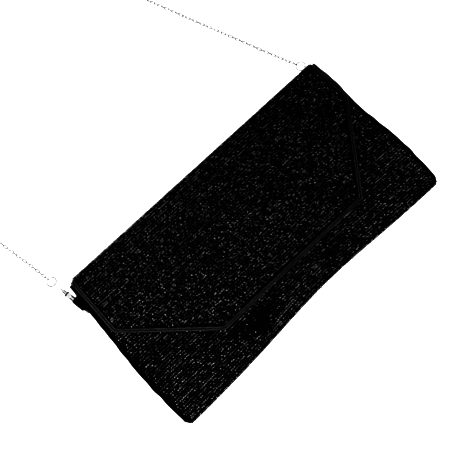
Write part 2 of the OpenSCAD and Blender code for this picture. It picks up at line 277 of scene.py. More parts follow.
class Look:
    """A Principled material and the few nodes that this scene's finishes share."""

    def __init__(self, name, colour, rough, **sockets):
        self.material = bpy.data.materials.new(name)
        self.material.use_nodes = True
        self.tree = self.material.node_tree
        self.shader = self.tree.nodes["Principled BSDF"]
        self.shader.inputs["Base Color"].default_value = (*colour, 1)
        self.shader.inputs["Roughness"].default_value = rough
        for socket, value in sockets.items():
            self.shader.inputs[socket.replace("_", " ")].default_value = value
        self.height = None

    def node(self, kind, **values):
        made = self.tree.nodes.new(kind)
        for key, value in values.items():
            if key in made.inputs:
                made.inputs[key].default_value = value
            else:
                setattr(made, key, value)
        return made

    def link(self, source, target):
        self.tree.links.new(source, target)

    def place(self, stretch=(1, 1, 1)):
        """The piece's own coordinates, stretched."""
        where = self.node("ShaderNodeTexCoord")
        mapping = self.node("ShaderNodeMapping")
        mapping.inputs["Scale"].default_value = stretch
        self.link(where.outputs["Object"], mapping.inputs["Vector"])
        return mapping.outputs["Vector"]

    def noise(self, size, detail=3.0, stretch=(1, 1, 1)):
        """Noise whose features are about size millimetres across."""
        made = self.node("ShaderNodeTexNoise", Scale=1 / (size * MM), Detail=detail)
        self.link(self.place(stretch), made.inputs["Vector"])
        return made.outputs["Fac"]

    def threads(self, pitch, direction):
        """Ridges pitch millimetres apart."""
        made = self.node("ShaderNodeTexWave", Scale=math.pi / 10 / (pitch * MM), Distortion=0.4,
                         bands_direction=direction)
        self.link(self.place(), made.inputs["Vector"])
        return made.outputs["Fac"]

    def ramp(self, source, low, high, start=0.3, end=0.7):
        made = self.node("ShaderNodeValToRGB")
        made.color_ramp.elements[0].position = start
        made.color_ramp.elements[1].position = end
        made.color_ramp.elements[0].color = (*low, 1)
        made.color_ramp.elements[1].color = (*high, 1)
        self.link(source, made.inputs["Fac"])
        return made.outputs["Color"]

    def colour(self, source):
        self.link(source, self.shader.inputs["Base Color"])

    def rough(self, source, low, high):
        made = self.node("ShaderNodeMapRange")
        made.inputs["To Min"].default_value = low
        made.inputs["To Max"].default_value = high
        self.link(source, made.inputs["Value"])
        self.link(made.outputs["Result"], self.shader.inputs["Roughness"])

    def bump(self, source, depth, strength=0.6):
        """A relief of depth millimetres, on top of any relief given before."""
        made = self.node("ShaderNodeBump", Strength=strength, Distance=depth * MM)
        self.link(source, made.inputs["Height"])
        if self.height:
            self.link(self.height, made.inputs["Normal"])
        self.height = made.outputs["Normal"]
        self.link(self.height, self.shader.inputs["Normal"])


def glass_bead(name, grey, blue, rough, ior):
    """Black glass. Its ior sets how much it mirrors under this scene's lights, and is not a real glass's."""
    return Look(name, (grey, grey, blue), rough, IOR=ior).material


def backing_cloth():
    look = Look("backing_cloth", (0.001, 0.001, 0.0012), 0.8, Specular_IOR_Level=0.08)
    look.colour(look.ramp(look.noise(3.0), (0.0006, 0.0006, 0.0008), (0.0016, 0.0016, 0.002)))
    look.rough(look.noise(8.0), 0.7, 0.9)
    look.bump(look.threads(0.35, "X"), 0.05)
    look.bump(look.threads(0.35, "Y"), 0.05)
    return look.material


def satin():
    look = Look("satin", (0.0015, 0.0018, 0.003), 0.6, Specular_IOR_Level=0.08)
    look.colour(look.ramp(look.noise(14.0), (0.0009, 0.0011, 0.0018), (0.002, 0.0024, 0.004)))
    look.rough(look.noise(5.0, stretch=(1, 0.2, 1)), 0.5, 0.7)
    look.bump(look.threads(0.22, "Y"), 0.02, 0.5)
    look.bump(look.threads(0.6, "DIAGONAL"), 0.015, 0.35)
    look.bump(look.noise(9.0), 0.25, 0.4)
    return look.material


def cord_satin():
    look = Look("cord_satin", (0.0014, 0.0014, 0.0016), 0.42, Specular_IOR_Level=0.18)
    look.colour(look.ramp(look.noise(6.0), (0.0009, 0.0009, 0.0011), (0.0020, 0.0020, 0.0024)))
    look.rough(look.noise(1.2), 0.36, 0.50)
    look.bump(look.threads(0.12, "DIAGONAL"), 0.02, 0.5)
    return look.material


def lining_cloth():
    look = Look("lining", (0.03, 0.03, 0.038), 0.45, Sheen_Weight=0.25, Sheen_Roughness=0.4)
    look.colour(look.ramp(look.noise(18.0), (0.022, 0.022, 0.028), (0.042, 0.042, 0.052)))
    look.rough(look.noise(7.0, stretch=(0.3, 1, 1)), 0.36, 0.56)
    look.bump(look.threads(0.18, "X"), 0.015, 0.4)
    look.bump(look.threads(0.24, "Y"), 0.015, 0.4)
    look.bump(look.noise(12.0), 0.3, 0.3)
    return look.material


def grosgrain():
    look = Look("grosgrain", (0.002, 0.002, 0.0024), 0.62, Specular_IOR_Level=0.12)
    look.colour(look.ramp(look.noise(2.5), (0.0012, 0.0012, 0.0015), (0.003, 0.003, 0.0036)))
    look.rough(look.noise(1.5), 0.52, 0.7)
    look.bump(look.threads(0.2, "Y"), 0.03, 0.5)
    return look.material


def stitching():
    look = Look("stitching", (0.012, 0.012, 0.014), 0.5, Sheen_Weight=0.15)
    look.colour(look.ramp(look.noise(0.8), (0.007, 0.007, 0.009), (0.018, 0.018, 0.021)))
    look.bump(look.threads(0.12, "DIAGONAL"), 0.02, 0.5)
    return look.material


def grey_board():
    look = Look("grey_board", (0.16, 0.14, 0.12), 0.85)
    look.colour(look.ramp(look.noise(0.9, 6.0), (0.11, 0.098, 0.082), (0.21, 0.19, 0.16)))
    look.rough(look.noise(3.0), 0.78, 0.95)
    look.bump(look.noise(0.35, 5.0), 0.06, 0.5)
    return look.material


def metal(name, dark, bright, low, high):
    """Plated metal: uneven tarnish, and fine scratches in its polish."""
    look = Look(name, bright, low, Metallic=1.0)
    look.colour(look.ramp(look.noise(2.2, 4.0), dark, bright, 0.25, 0.6))
    look.rough(look.noise(1.1, 4.0), low, high)
    look.bump(look.noise(0.5, 2.0, stretch=(1, 6, 1)), 0.01, 0.3)
    return look.material


JET = [
    glass_bead("jet_bead", 0.0008, 0.0010, 0.09, 1.30),
    glass_bead("smoke_bead", 0.0012, 0.0014, 0.15, 1.17),
    glass_bead("gunmetal_bead", 0.0015, 0.0018, 0.11, 1.50),
    glass_bead("matt_bead", 0.0008, 0.0010, 0.34, 1.12),
]
JET_GLASS, SMOKE, GUNMETAL, MATT = range(4)
CLOTH = backing_cloth()
SATIN = satin()
CORD = cord_satin()
LINING = lining_cloth()
GROSGRAIN = grosgrain()
THREAD = stitching()
BOARD = grey_board()
SILVER = metal("silver", (0.44, 0.43, 0.42), (0.82, 0.80, 0.79), 0.12, 0.24)
CHAIN_SILVER = metal("chain_silver", (0.20, 0.19, 0.18), (0.62, 0.61, 0.60), 0.14, 0.28)
# A dark metal that paints shade onto parts of the clasps, not a finish the real hardware has
SHADE_PAINT_METAL = metal("clasp_shadow_paint", (0.010, 0.010, 0.011), (0.035, 0.033, 0.032), 0.3, 0.5)
NICKEL = metal("nickel", (0.42, 0.41, 0.39), (0.66, 0.65, 0.62), 0.16, 0.3)
MAGNET = metal("magnet", (0.07, 0.07, 0.075), (0.14, 0.14, 0.15), 0.35, 0.55)
STEEL = metal("spring_steel", (0.22, 0.22, 0.23), (0.40, 0.40, 0.41), 0.2, 0.35)
METALS = [SILVER, SHADE_PAINT_METAL, NICKEL, MAGNET, STEEL]
FABRICS = [SATIN, LINING, THREAD, GROSGRAIN, BOARD]

# ---------------- chain

CHAIN_W = 2.4
LIE = CHAIN_W / 2
LINK_WIRE = 0.6
LINK_PITCH = 3.0
# The length of the run that its end links' middles leave free, both ends together
ENDS = 0.7
COIL_AT = np.array([-104.0, 201.0])
COIL_OUT, COIL_IN = 16.6, 9.4
COIL_TURNS = 3
COIL_STEPS = 14
RUN_LEFT = [
    (-130.8, 79.6, LIE), (-132.7, 91, LIE), (-135.6, 107, LIE), (-138.4, 123, LIE),
    (-138.5, 134, LIE), (-133, 144, LIE), (-123, 153, LIE), (-110, 167.5, LIE),
    (-97.9, 182.6, LIE)]
RUN_RIGHT = [
    (-84.9, 197.8, 3.3), (-78, 206, 1.6), (-68, 217.5, LIE), (-50, 239, LIE), (-32, 261, LIE),
    (-24, 272, LIE), (-14, 276, LIE), (-3, 272, LIE), (12, 260, LIE), (32, 243, LIE),
    (50, 226, LIE), (60, 209, LIE), (67.7, 190, LIE), (80.2, 159, LIE), (92.6, 128.3, LIE),
    (103.5, 101.2, LIE), (114.8, 74.3, LIE)]


def coil_points():
    """In along the lower layer, once round inside while climbing, and out along the upper layer."""
    first = math.atan2(-10.8, 12.6)
    points = []
    inward, climb = COIL_TURNS * COIL_STEPS, COIL_STEPS
    for k in range(2 * inward + climb + 1):
        into = min(k / inward, 1.0)
        rise = min(max((k - inward) / climb, 0.0), 1.0)
        out = max((k - inward - climb) / inward, 0.0)
        r = COIL_OUT - (COIL_OUT - COIL_IN) * (into - out)
        a = first + 2 * math.pi * k / COIL_STEPS
        points.append((COIL_AT[0] + r * math.cos(a), COIL_AT[1] + r * math.sin(a), LIE + CHAIN_W * rise))
    return points


def oval_link(sides=7, steps=14):
    """One link lying along X, its wire round a line with straight sides and round ends."""
    half, across = (LINK_PITCH + LINK_WIRE) / 2, (CHAIN_W - LINK_WIRE) / 2
    a = np.arange(steps) * 2 * math.pi / steps
    straight = half - across
    line = np.stack([across * np.cos(a) + straight * np.sign(np.cos(a)) * (abs(np.cos(a)) > 0.3),
                     across * np.sin(a), np.zeros(steps)], 1)
    return sweep(line, ring_section(LINK_WIRE / 2, sides), loop=True)


def make_chain():
    route = smooth_line(RUN_LEFT + coil_points() + RUN_RIGHT, 0.8)
    total = lengths_along(route)[-1]
    count = int(round((total - ENDS) / LINK_PITCH))
    where = ENDS / 2 + np.arange(count + 1) * (total - ENDS) / count
    middles = at_lengths(route, where)
    ahead = unit(at_lengths(route, where + 1.4) - at_lengths(route, np.maximum(where - 1.4, 0)))
    ahead[0] = unit(route[4] - route[0])
    across = unit(np.cross(np.broadcast_to([0.0, 0, 1], ahead.shape), ahead))
    above = np.cross(ahead, across)
    turns = np.radians(np.where(np.arange(count + 1) % 2 == 0, 84.0, 2.0) + rng.normal(0, 9, count + 1))
    turns[[0, -1]] = math.pi / 2
    points, faces = oval_link()
    parts = []
    for middle, x, y, z, turn in zip(middles, ahead, across, above, turns):
        side = math.cos(turn) * y + math.sin(turn) * z
        top = math.cos(turn) * z - math.sin(turn) * y
        parts.append((middle + points @ np.stack([x, side, top]), faces))
    chain = piece("shoulder_chain", join(parts), "pouch", CHAIN_SILVER, "chain",
                  ["chain_run_left", "chain_coil", "chain_run_right"])


make_chain()

# ---------------- the pouch's shape

FRONT_HIGH = corners("front_panel")[1]
BACK_HIGH = corners("back_panel")[1]
SPINE_HIGH = corners("spine_panel")[1]
FLAP_HIGH = corners("flap_panel")[1]
CORD_HIGH = corners("flap_piping")[1]
BASE_LOW, BASE_HIGH = corners("base_panel")

PANEL_HALF = FRONT_HIGH[0]
BOTTOM = BASE_LOW[1]
HOLLOW, HOLLOW_AT, HOLLOW_SPREAD = 5.1, 0.12, 0.55
CORNER_PULL = 1.4
FULLNESS = 1.1
HOLLOW_FADE = 60.0
FRONT_TOP, FRONT_DROP, FRONT_RIM = FRONT_HIGH[2], 1.2, 12.0
BACK_RISE, BACK_RIM = 6.6, 21.0
FOLD_Y, FOLD_LOW_Z, FOLD_HIGH_Z = 63.3, 7.0, 16.4
# The two dents in the front: their ends, and how deep and wide they are
DENTS = (((-43.7, -40.0), (-25.0, -60.0)), ((33.5, -40.0), (20.5, -59.0)))
DENT_DEPTH, DENT_WIDTH = 1.1, 3.4

CLOTH_T = 0.35
UNDER_BEADS = 1.15

# How far the side cloth stands out past the panels' straight edges, from its lower end to its upper,
# and how much of it shows beside the panels, whose edges bulge with it
LEFT_BULGE = ((-62, 5.4), (-27, 6.8), (12, 4.9), (42, 2.9), (62, 1.4))
RIGHT_BULGE = ((-62, 5.0), (-26, 6.3), (16, 2.5), (42, 2.9), (62, 1.2))
SATIN_SHOWS = 2.5


def side_bulge(y, left):
    ends = np.array(LEFT_BULGE if left else RIGHT_BULGE, float)
    line = smooth_line(np.column_stack([ends, np.zeros(len(ends))]), 2.0)
    return np.interp(y, line[:, 0], line[:, 1])


def side_spread(y, left):
    """How far the panels' own edge stands out at y."""
    return np.maximum(side_bulge(y, left) - SATIN_SHOWS, 0)


def spread_out(x, y):
    """Moves points of a straight-sided panel out with its sides."""
    return x + x / PANEL_HALF * np.where(x < 0, side_spread(y, True), side_spread(y, False))


def drawn_in(x):
    """How far the bottom edge is drawn in at x: it is hollow in the middle, and pulled out at the left."""
    u = x / PANEL_HALF
    return HOLLOW * np.exp(-((u - HOLLOW_AT) / HOLLOW_SPREAD) ** 2) - CORNER_PULL * (1 - u) - FULLNESS


def follow_bottom(x, y):
    """Rows near the bottom bow with its edge, and rows higher up run straight."""
    return y + drawn_in(x) * ease((HOLLOW_FADE / 2 - y) / (HOLLOW_FADE / 2 - BOTTOM)) ** 1.3


def slope(distance, rim, rise):
    """The rim's height at a distance in from the edge, rounded where it meets the flat."""
    t = np.clip(1 - distance / rim, 0, 1)
    return rise * (0.75 * t + 0.25 * t * t)


def dent(x, y):
    depth = np.zeros(np.broadcast(x, y).shape)
    for (ax, ay), (bx, by) in DENTS:
        t = np.clip(((x - ax) * (bx - ax) + (y - ay) * (by - ay)) / ((bx - ax) ** 2 + (by - ay) ** 2), 0, 1)
        away = np.hypot(x - ax - t * (bx - ax), y - ay - t * (by - ay))
        depth = depth + np.exp(-(away / DENT_WIDTH) ** 2) * (0.35 + 0.65 * ease(t * 1.6))
    return DENT_DEPTH * depth


def swell(x, y, size, depth):
    """A gentle unevenness of padded cloth."""
    return depth * (np.sin(x / size + 1.3) * np.cos(y / size * 1.4 + 0.4)
                    + 0.6 * np.sin(x / size * 2.1 + y / size * 1.7 + 2.0)) / 1.6


def front_skin(x, y):
    """The front panel's outer skin at x and the row that starts at y."""
    edge = BOTTOM + 1.4 - y
    drop = np.maximum(slope(PANEL_HALF - np.abs(x), FRONT_RIM, FRONT_DROP), slope(-edge, FRONT_RIM, FRONT_DROP))
    z = FRONT_TOP - drop - dent(x, y) + swell(x, y, 26, 0.12) - 0.12
    return xyz(x, follow_bottom(x, y), z)


def back_skin(x, y):
    inward = np.minimum(PANEL_HALF - np.abs(x), np.minimum(y - BOTTOM - 1.4, BACK_HIGH[1] - y))
    z = slope(inward, BACK_RIM, BACK_RISE)
    return xyz(x, follow_bottom(x, y), z)


def base_skin(x, z):
    return xyz(x, BOTTOM + drawn_in(x), z)


def spine_skin(x, z):
    return xyz(x, SPINE_HIGH[1] + 0 * x, z)


def fold_skin(x, z):
    """Beads under this skin are centred on a fold line."""
    return xyz(x, FOLD_Y + BEAD_R + 0 * x, z)


def flap_skin(x, y):
    z = FLAP_HIGH[2] + swell(x, y, 30, 0.16)
    return xyz(x, y, z)


def skin_axes(skin, x, v, outward):
    """The row's direction and the outward normal at points of a skin."""
    step = 0.4
    along = unit(skin(x + step, v) - skin(x - step, v))
    over = skin(x, v + step) - skin(x, v - step)
    return along, unit(outward * np.cross(along, over))


# ---------------- beads

ROW_PITCH = 1.97
BEAD_PITCH = 1.62
BEAD_R = 0.97
BEAD_SIDES = 7
BEADS_PER_PIECE = 3800
# How unevenly beads are sewn: their tilts in radians, and in millimetres their places over, along and across a row
BEAD_TILT, BEAD_SWAY = 0.25, 0.12
BEAD_LIFT, BEAD_SLIP, BEAD_STRAY, ROW_WANDER = 0.05, 0.10, 0.08, 0.16
# A bead's outline: how far along its hole, and how far out
BEAD_OUTLINE = ((-0.77, 0.50), (-0.44, 0.95), (0.44, 0.95), (0.77, 0.50))


def bead_meshes(centres, along, out, size):
    """Beads as one mesh: each is a small barrel round its thread."""
    n, k, sides = len(centres), len(BEAD_OUTLINE), BEAD_SIDES
    beside = np.cross(along, out)
    a = np.arange(sides) * 2 * math.pi / sides
    outline = np.array(BEAD_OUTLINE)
    local = np.stack([
        np.repeat(outline[:, 0], sides),
        np.outer(outline[:, 1], np.cos(a)).ravel(),
        np.outer(outline[:, 1], np.sin(a)).ravel()], 1)
    axes = np.stack([along, out, beside], 1) * size[:, None, None]
    points = centres[:, None] + np.einsum("pk,nkc->npc", local, axes)
    wall, *caps = tube_faces(k, sides)
    wall, caps = wall[:, [0, 3, 2, 1]], np.concatenate(caps)[:, ::-1]
    start = np.arange(n)[:, None, None] * k * sides
    return points.reshape(-1, 3), [(wall + start).reshape(-1, 4), (caps + start).reshape(-1, sides)]


# Where the front's beads get painted shade, about its dents, and painted highlights, at the dents' lower ends: a
# centre and a reach along X and Y
PAINTED_SHADE_SPOTS = ((-42.0, -47.0, 21.0, 9.0), (29.0, -49.0, 8.0, 6.5))
PAINTED_GLINT_SPOTS = ((-27.0, -57.0, 5.0, 3.0), (20.5, -57.0, 4.0, 3.0))
FRONT_FROM_Z = 9.0
# The share of beads at a spot's middle that turn matt for painted shade, and that turn gunmetal for painted
# highlights
PAINTED_SHADE_SHARE, PAINTED_GLINT_SHARE = 0.9, 0.5


def within(places, x, y):
    """1 at the middle of a place, 0 well outside it."""
    share = np.zeros(len(x))
    for cx, cy, rx, ry in places:
        share = np.maximum(share, np.exp(-(((x - cx) / rx) ** 2 + ((y - cy) / ry) ** 2) ** 2))
    return share


def finishes_for(centres):
    """Which glass each bead is: mixed at random, with more gunmetal in loose patches. On the front, matt beads
    paint shade about the dents and gunmetal beads paint highlights below them.
    """
    x, y, z = centres.T
    patch = 0.5 + 0.5 * np.sin(x / 17 + 1.1) * np.cos(y / 13 + x / 41)
    pick = rng.random(len(centres))
    kind = np.full(len(centres), JET_GLASS)
    kind[pick < 0.50] = SMOKE
    kind[pick < 0.16 + 0.10 * patch] = GUNMETAL
    kind[pick > 0.72] = MATT
    front = (z > FRONT_FROM_Z) & (z < FRONT_TOP)
    again = rng.random(len(centres))
    # Painted shade: matt beads darken the dents
    kind[front & (again < PAINTED_SHADE_SHARE * within(PAINTED_SHADE_SPOTS, x, y))] = MATT
    # Painted highlights: gunmetal beads glint at the dents' lower ends
    kind[front & (again > 1 - PAINTED_GLINT_SHARE * within(PAINTED_GLINT_SPOTS, x, y))] = GUNMETAL
    return kind


EVEN_TO, LOOSE_OVER, LOOSENESS = 54.0, 22.0, 1.4


def evenly(_):
    return 1.0


def loosely(v):
    """The flap's beads lie in even rows by the fold, and stray from them further down."""
    return 1.0 + LOOSENESS * float(ease((EVEN_TO - v) / LOOSE_OVER))


def bead_rows(skin, rows, limits, outward, stray):
    """Beads along rows between limits: their centres, and which way their holes and their tops point."""
    made = []
    for v in rows:
        low, high = limits(v)
        count = int((high - low) / BEAD_PITCH)
        if count < 1:
            continue
        slack = (high - low) - (count - 1) * BEAD_PITCH
        x = low + slack * rng.uniform(0.2, 0.8) + np.arange(count) * BEAD_PITCH
        x = np.clip(x + rng.normal(0, BEAD_SLIP * stray(v), count), low, high)
        wander = ROW_WANDER * np.sin(x / rng.uniform(6, 19) + rng.uniform(0, 6))
        rows_at = v + (wander + rng.normal(0, BEAD_STRAY * stray(v), count))
        along, out = skin_axes(skin, x, rows_at, outward)
        lift = -BEAD_R + rng.normal(0, BEAD_LIFT, count)
        centre = skin(x, rows_at) + out * lift[:, None]
        tilt = rng.normal(0, BEAD_TILT, count)[:, None]
        sway = rng.normal(0, BEAD_SWAY, count)[:, None]
        beside = np.cross(along, out)
        along = unit(along + tilt * out + sway * beside)
        out = unit(out - along * np.sum(out * along, 1, keepdims=True))
        made.append((centre, along, out))
    return [np.concatenate(part) for part in zip(*made)]


def make_beads(name, body, skin, rows, limits, outward=1, stray=evenly, hole=None):
    """The beads of a panel, a few thousand to a piece. None are sewn in a hole, given as x, y and radius."""
    centres, along, out = bead_rows(skin, rows, limits, outward, stray)
    if hole:
        x, y, radius = hole
        sewn = np.hypot(centres[:, 0] - x, centres[:, 1] - y) > radius
        centres, along, out = centres[sewn], along[sewn], out[sewn]
    bands = max(1, math.ceil(len(centres) / BEADS_PER_PIECE))
    for band, part in enumerate(np.array_split(np.arange(len(centres)), bands)):
        size = rng.normal(1.0, 0.035, len(part)).clip(0.9, 1.06)
        points, faces = bead_meshes(centres[part], along[part], out[part], size)
        label = name if bands == 1 else f"{name}_{band + 1}"
        obj = blank(label, points, faces)
        kind = finishes_for(centres[part])
        sides = np.repeat(kind, (len(BEAD_OUTLINE) - 1) * BEAD_SIDES)
        ends = np.repeat(kind, 2)
        finish_piece(obj, body, JET, "beading")
        obj.data.polygons.foreach_set("material_index", np.concatenate([sides, ends]).astype(np.int32))
        obj.data.polygons.foreach_set("use_smooth", np.concatenate([sides >= 0, ends < 0]))


def cloth_under(name, skin, xs, vs, outward=1, trim=None, replaced=()):
    """The cloth that a panel's beads are sewn to."""
    x, v = np.meshgrid(xs, vs, indexing="ij")
    if trim is not None:
        x = trim(x, v)
    _, out = skin_axes(skin, x, v, outward)
    face = skin(x, v)
    top = face - out * UNDER_BEADS
    under = face - out * (UNDER_BEADS + CLOTH_T)
    if outward < 0:
        top, under = under, top
    return piece(name, slab(top, under), "pouch", CLOTH, "beading", replaced)


CHAMFER_FROM, CHAMFER_SLOPE = 58.5, 0.65
END_ROOM = 0.9


def square_ends(v):
    """A row's ends, cut back near the fold's corners."""
    half = PANEL_HALF - END_ROOM - max(0.0, v - CHAMFER_FROM) * CHAMFER_SLOPE
    return -half, half


def panel_ends(v):
    low, high = square_ends(v)
    return float(spread_out(low, v)), float(spread_out(high, v))


def rows_between(low, high):
    return np.linspace(low, high, int(round((high - low) / ROW_PITCH)) + 1)


FLAP_EDGE = np.array([
    (-120.5, 62.3), (-121.5, 15.3), (-63.0, -37.0), (74.0, -36.0), (121.5, 27.3), (120.5, 62.3)])
CORDED = 3.2


def edge_in(distance):
    """The flap's free edges, set in from the outline, from its top left corner round to its top right."""
    heading = unit(np.diff(FLAP_EDGE, axis=0))
    inward = np.stack([-heading[:, 1], heading[:, 0]], 1)
    line = []
    for k, point in enumerate(FLAP_EDGE):
        a, b = inward[max(k - 1, 0)], inward[min(k, len(inward) - 1)]
        line.append(point + distance * (a + b) / (1 + a @ b))
    return np.array(line)


def flap_ends(v, distance=CORDED + 0.75):
    """Where a straight row across the flap meets its corded edges."""
    line = edge_in(distance)
    low, high = -1e3, 1e3
    for a, b in zip(line[:-1], line[1:]):
        if not min(a[1], b[1]) <= v <= max(a[1], b[1]):
            continue
        x = a[0] + (b[0] - a[0]) * (v - a[1]) / (b[1] - a[1])
        if b[0] < 0:
            low = max(low, x)
        else:
            high = min(high, x)
    half = square_ends(v)[1]
    return max(low, -half), min(high, half)


def make_beadwork():
    sides = np.linspace(-PANEL_HALF + 0.5, PANEL_HALF - 0.5, 122)
    front_rows = rows_between(BOTTOM + 2.9, FRONT_HIGH[1] - 1.0)
    low, high = corners("snap_socket")
    at_socket = (*(low + high)[:2] / 2, (high[0] - low[0]) / 2 + BEAD_R)
    make_beads("front_beads", "pouch", front_skin, front_rows, panel_ends, hole=at_socket)
    front = cloth_under("front_cloth", front_skin, sides,
                        np.linspace(BOTTOM + 1.2, FRONT_HIGH[1], 56), trim=spread_out, replaced=["front_panel"])

    back_rows = rows_between(BOTTOM + 2.9, BACK_HIGH[1] - 1.5)
    make_beads("back_beads", "pouch", back_skin, back_rows, panel_ends, -1)
    back = cloth_under("back_cloth", back_skin, sides,
                       np.linspace(BOTTOM + 1.2, BACK_HIGH[1], 64), -1, trim=spread_out, replaced=["back_panel"])

    make_beads("base_beads", "pouch", base_skin, np.linspace(6.3, 12.0, 4), lambda v: panel_ends(BOTTOM))
    cloth_under("base_cloth", base_skin, spread_out(sides, BOTTOM),
                np.linspace(BASE_LOW[2] + 0.6, BASE_HIGH[2] - 0.7, 6), replaced=["base_panel"])

    spine_rows = np.linspace(FOLD_LOW_Z, FOLD_HIGH_Z, 6)[1:-1]
    spine_ends = square_ends(FOLD_Y - 1.2)
    make_beads("spine_beads", "spine", spine_skin, spine_rows, lambda v: spine_ends, -1)

    fold_ends = square_ends(FOLD_Y)
    make_beads("lower_fold_beads", "spine", fold_skin, [FOLD_LOW_Z], lambda v: fold_ends, -1)
    make_beads("upper_fold_beads", "flap", fold_skin, [FOLD_HIGH_Z], lambda v: fold_ends, -1)

    flap_rows = rows_between(-32.9, FLAP_HIGH[1] - 0.9)
    make_beads("flap_beads", "flap", flap_skin, flap_rows, flap_ends, stray=loosely)


make_beadwork()

# ---------------- sheets of cloth and board

LINING_T, BOARD_T, SPINE_LINING_T = 0.4, 0.5, 0.35
FLAP_LINING_Z, FLAP_HEM_Z = 14.55, 14.17


def flap_sheet(name, distance, top_z, thick, finish, slot, replaced, wave=0.0):
    """A sheet over the flap's plan, set in by a distance from its free edges."""
    y = np.linspace(edge_in(distance)[2:4, 1].max() + 0.05, FLAP_HIGH[1], 44)
    ends = np.array([flap_ends(v, distance) for v in y])
    x = (ends[:, :1] + (ends[:, 1:] - ends[:, :1]) * np.linspace(0, 1, 90)).T
    z = top_z + wave * swell(x, y, 19, 1.0)
    top = xyz(x, y, z)
    return piece(name, slab(top, top - [0, 0, thick]), "flap", finish, slot, replaced)


def stitches(line, up, pitch=2.6, length=1.7, thick=0.16):
    """A row of stitches along a line, each a short bar that dips into the cloth at its ends."""
    total = lengths_along(line)[-1]
    parts = []
    dips = np.array([-1.0, -0.75, 0.0, 0.75, 1.0])
    for middle in np.arange(pitch / 2, total, pitch):
        s = middle + dips * length / 2
        bar = at_lengths(line, s.clip(0, total))
        if lengths_along(bar)[-1] < length * 0.8:
            continue
        bar = bar + np.outer(thick * (1 - dips**4) - 0.05, up)
        parts.append(sweep(bar, ring_section(thick, 6), up=up))
    return join(parts)


def inner_sheet(name, skin, depth, outward, low, high, node, wave):
    """A lining, depth in from a panel's skin."""
    side = PANEL_HALF - 1.3
    x, v = np.meshgrid(np.linspace(-side, side, 80), np.linspace(low, high, 40), indexing="ij")
    _, out = skin_axes(skin, x, v, outward)
    face = skin(x, v) - out * (depth + wave * (1 + swell(x, v, 11, 1.0)))[..., None]
    back = face - out * LINING_T
    top, under = (face, back) if outward > 0 else (back, face)
    return piece(name, slab(top, under), "pouch", LINING, "lining", [node])


def make_front_board():
    """The stiffening sheet behind the front, dented with the cloth."""
    low, high = corners("front_board")
    x, y = np.meshgrid(np.linspace(low[0], high[0], 90), np.linspace(low[1], high[1], 44), indexing="ij")
    top = xyz(x, y, high[2] - 0.4 - dent(x, y) + swell(x, y, 26, 0.12))
    piece("front_board_sheet", slab(top, top - [0, 0, BOARD_T]), "pouch", BOARD, "board", ["front_board"])


def bent_sheet(name, line, finish, slot, thick, side, replaced=()):
    """A strip across the whole width, along a line of (y, z) points, that bends at a fold."""
    line = np.asarray(line, float)
    xs = np.linspace(-side, side, 90)
    run = headings(np.column_stack([line, np.zeros(len(line))]))[:, :2]
    out = np.stack([run[:, 1], -run[:, 0]], 1)
    face = xyz(xs[:, None], line[None, :, 0], line[None, :, 1])
    offset = np.concatenate([np.zeros((len(line), 1)), out * thick], 1)
    obj = piece(name, slab(face - offset[None], face), None, finish, slot, replaced)
    bpy.context.view_layer.update()
    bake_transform(obj)


def make_sheets():
    cloth = flap_sheet("flap_cloth", 1.6, FLAP_HIGH[2] - UNDER_BEADS, CLOTH_T, CLOTH, "beading", ["flap_panel"])
    lining = flap_sheet("flap_lining_cloth", 1.2, FLAP_LINING_Z, LINING_T, LINING, "lining", ["flap_lining"], 0.05)
    edge = edge_in(2.6)
    hem = np.column_stack([edge, np.full(len(edge), FLAP_HEM_Z)])
    hem = at_lengths(hem, np.arange(3, lengths_along(hem)[-1] - 3, 1.0))
    piece("flap_stitching", stitches(hem, (0, 0, -1)), "flap", THREAD, "lining")

    back = inner_sheet("back_lining_cloth", back_skin, 2.25, -1, BOTTOM + 2.2, BACK_HIGH[1] - 0.6,
                       "back_lining", 0.05)
    front = inner_sheet("front_lining_cloth", front_skin, 2.3, 1, BOTTOM + 2.2, FRONT_HIGH[1] - 0.2,
                        "front_lining", 0.08)


def make_fold_cloth():
    """The cloth under the spine's beads and the lining inside it, each split at the spine's middle."""
    middle = (FOLD_LOW_Z + FOLD_HIGH_Z) / 2
    y = SPINE_HIGH[1] - UNDER_BEADS
    half = PANEL_HALF - 2.6
    corner_low = [(60.6, 7.2), (61.6, 7.3), (62.3, 7.6), (y - 0.15, 8.2), (y, 9.0)]
    lower = corner_low + [(y, z) for z in np.linspace(9.8, middle, 5)]
    upper = [(y, z) for z in np.linspace(middle, 14.2, 5)]
    upper += [(y, 15.0), (y - 0.2, 15.5), (62.1, 15.75), (61.4, 15.82), (60.4, 15.82)]
    bent_sheet("lower_spine_cloth", lower, CLOTH, "beading", CLOTH_T, half,
               ["spine_panel"])
    bent_sheet("upper_spine_cloth", upper, CLOTH, "beading", CLOTH_T, half)
    inner = y - CLOTH_T - SPINE_LINING_T
    low_in = [(59.4, 8.05), (60.4, 8.35), (61.2, 8.7), (inner - 0.15, 9.3), (inner, 10.0)]
    low_in += [(inner, z) for z in np.linspace(10.6, middle, 4)]
    high_in = [(inner, z) for z in np.linspace(middle, 13.2, 4)]
    high_in += [(inner - 0.1, 13.8), (61.4, 14.25), (60.6, 14.4), (59.6, 14.45)]
    half -= 0.4
    bent_sheet("lower_spine_lining", low_in, LINING, "lining",
               SPINE_LINING_T, half)
    bent_sheet("upper_spine_lining", high_in, LINING, "lining",
               SPINE_LINING_T, half)


make_sheets()
make_front_board()
make_fold_cloth()

# ---------------- corded edge

CORD_R = 0.78
STRAND_R = 0.44
CORD_TWIST = 3.6
BAND_Z = 14.25


def rope(line, phase, strands=3):
    """Strands laid round a line."""
    s = lengths_along(line)
    across, above = line_axes(line)
    parts = []
    for k in range(strands):
        a = 2 * math.pi * (s / CORD_TWIST + k / strands) + phase
        off = CORD_R - STRAND_R
        lay = line + off * (np.cos(a)[:, None] * across + np.sin(a)[:, None] * above)
        parts.append(sweep(lay, ring_section(STRAND_R, 6)))
    return parts


